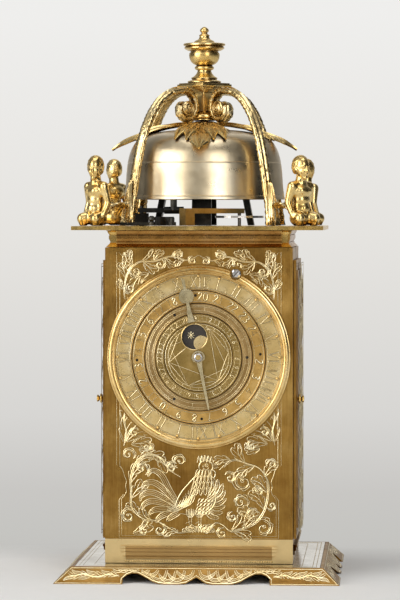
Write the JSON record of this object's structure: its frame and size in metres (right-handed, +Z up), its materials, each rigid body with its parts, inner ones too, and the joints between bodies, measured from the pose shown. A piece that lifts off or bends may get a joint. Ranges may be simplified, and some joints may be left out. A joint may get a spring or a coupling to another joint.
{
  "type": "tower table clock",
  "caption": "Tall square gilt table clock: scalloped base, engraved case with side doors, round dial, bell under four scrolled straps and an urn finial.",
  "frame": {"origin": "middle of the base, on the surface that the clock stands on", "axes": "+Z up; the dial faces -Y; +X to the right of someone who faces the dial"},
  "size_m": [0.1786, 0.1786, 0.3524],
  "materials": {
    "gilt": "fire-gilt brass, polished, soft wear",
    "engraved": "engraved gilt brass with darkened ground",
    "bell": "pale bell bronze, brushed round",
    "iron": "blackened iron",
    "steel": "bright steel",
    "movement": "plain yellow brass",
    "gut": "gut line"
  },
  "bodies": {
    "case": {"base_plate": "gilt", "front_apron": "engraved", "right_apron": "engraved", "back_apron": "engraved", "left_apron": "engraved", "front_panel": "engraved", "back_panel": "engraved", "left_side_frame": "engraved", "right_side_frame": "engraved", "frieze": "engraved", "top_plate": "gilt", "bell": "bell", "bell_stand": "iron", "bell_column": "gilt", "finial": "gilt", "bell_rosette": "gilt", "chapter_ring": "gilt", "dial_screw": "steel", "strike_lever": "gilt", "hammer_spring": "steel", "hammer_cock": "iron", "balance_cock": "gilt", "potence": "movement", "movement_frame": "movement", "front_bars": "movement", "back_bars": "movement", "going_line": "gut", "strike_line": "gut", "bell_strap_front_left": "gilt", "bell_strap_front_right": "gilt", "bell_strap_back_left": "gilt", "bell_strap_back_right": "gilt", "corner_figure_front_left": "gilt", "corner_figure_front_right": "gilt", "corner_figure_back_left": "gilt", "corner_figure_back_right": "gilt"},
    "left_door": {"left_door": "engraved"},
    "right_door": {"right_door": "engraved"},
    "left_latch": {"left_door_latch": "gilt"},
    "right_latch": {"right_door_latch": "gilt"},
    "hour_ring": {"hour_ring": "engraved"},
    "middle_ring": {"middle_ring": "engraved"},
    "sun": {"sun_disc": "engraved", "sun_hand": "gilt"},
    "moon": {"moon_arbor": "steel", "moon_disc": "engraved", "moon_hand": "gilt", "dial_nut": "steel"},
    "going_barrel": {"going_barrel": "movement"},
    "going_fusee": {"going_fusee": "movement"},
    "going_second": {"going_second_wheel": "movement"},
    "crown_wheel": {"crown_wheel": "movement"},
    "balance": {"balance_and_verge": "steel"},
    "strike_barrel": {"strike_barrel": "movement"},
    "strike_fusee": {"strike_fusee": "movement"},
    "strike_pin_wheel": {"strike_pin_wheel": "movement"},
    "fly": {"fly": "movement"},
    "hammer": {"hammer": "iron"}
  },
  "joints": [
    {"name": "right_door_hinge", "type": "hinge", "parent": "case", "child": "right_door", "pos_m": [0.06125, 0.0535, 0.1132], "axis": [0, 0, 1], "range_deg": [0, 100]},
    {"name": "left_door_hinge", "type": "hinge", "parent": "case", "child": "left_door", "pos_m": [-0.06125, 0.0535, 0.1132], "axis": [0, 0, -1], "range_deg": [0, 100]},
    {"name": "right_latch_turn", "type": "hinge", "parent": "right_door", "child": "right_latch", "pos_m": [0.05935, -0.0433, 0.1132], "axis": [1, 0, 0], "range_deg": [0, 90]},
    {"name": "left_latch_turn", "type": "hinge", "parent": "left_door", "child": "left_latch", "pos_m": [-0.05935, -0.0433, 0.1132], "axis": [1, 0, 0], "range_deg": [0, 90]},
    {"name": "hour_ring_turn", "type": "hinge", "parent": "case", "child": "hour_ring", "pos_m": [0, -0.05935, 0.1403], "axis": [0, -1, 0], "continuous": true},
    {"name": "middle_ring_turn", "type": "hinge", "parent": "case", "child": "middle_ring", "pos_m": [0, -0.05935, 0.1403], "axis": [0, -1, 0], "continuous": true},
    {"name": "going_second_turn", "type": "hinge", "parent": "case", "child": "going_second", "pos_m": [0.024, 0, 0.1384], "axis": [0, 1, 0], "continuous": true},
    {"name": "sun_turn", "type": "hinge", "parent": "case", "child": "sun", "pos_m": [0, -0.05935, 0.1403], "axis": [0, 1, 0], "continuous": true},
    {"name": "moon_turn", "type": "hinge", "parent": "case", "child": "moon", "pos_m": [0, -0.05935, 0.1403], "axis": [0, 1, 0], "continuous": true},
    {"name": "going_fusee_turn", "type": "hinge", "parent": "case", "child": "going_fusee", "pos_m": [0.024, 0, 0.112], "axis": [0, 1, 0], "continuous": true},
    {"name": "going_barrel_turn", "type": "hinge", "parent": "case", "child": "going_barrel", "pos_m": [0.024, 0, 0.06], "axis": [0, 1, 0], "continuous": true},
    {"name": "crown_wheel_turn", "type": "hinge", "parent": "case", "child": "crown_wheel", "pos_m": [0.024, 0, 0.16153], "axis": [0, 1, 0], "continuous": true},
    {"name": "balance_swing", "type": "hinge", "parent": "case", "child": "balance", "pos_m": [0.024, -0.025, 0.2288], "axis": [0, 0, 1], "range_deg": [-50, 50]},
    {"name": "strike_pin_wheel_turn", "type": "hinge", "parent": "case", "child": "strike_pin_wheel", "pos_m": [-0.024, 0, 0.1384], "axis": [0, 1, 0], "continuous": true},
    {"name": "strike_fusee_turn", "type": "hinge", "parent": "case", "child": "strike_fusee", "pos_m": [-0.024, 0, 0.112], "axis": [0, 1, 0], "continuous": true},
    {"name": "strike_barrel_turn", "type": "hinge", "parent": "case", "child": "strike_barrel", "pos_m": [-0.024, 0, 0.06], "axis": [0, 1, 0], "continuous": true},
    {"name": "fly_turn", "type": "hinge", "parent": "case", "child": "fly", "pos_m": [-0.024, 0, 0.16153], "axis": [0, 1, 0], "continuous": true},
    {"name": "hammer_lift", "type": "hinge", "parent": "case", "child": "hammer", "pos_m": [-0.04, -0.012, 0.233], "axis": [0, 0, 1], "range_deg": [0, 8], "stiffness_Nm_per_rad": 0.02}
  ],
  "couplings": [
    {"joint": "going_fusee_turn", "follows": "going_second_turn", "ratio": -0.22222},
    {"joint": "going_barrel_turn", "follows": "going_second_turn", "ratio": -0.13333},
    {"joint": "crown_wheel_turn", "follows": "going_second_turn", "ratio": -4},
    {"joint": "sun_turn", "follows": "going_second_turn", "ratio": -0.17544},
    {"joint": "moon_turn", "follows": "going_second_turn", "ratio": -0.16949},
    {"joint": "strike_fusee_turn", "follows": "strike_pin_wheel_turn", "ratio": -0.22222},
    {"joint": "strike_barrel_turn", "follows": "strike_pin_wheel_turn", "ratio": -0.13333},
    {"joint": "fly_turn", "follows": "strike_pin_wheel_turn", "ratio": -4}
  ]
}
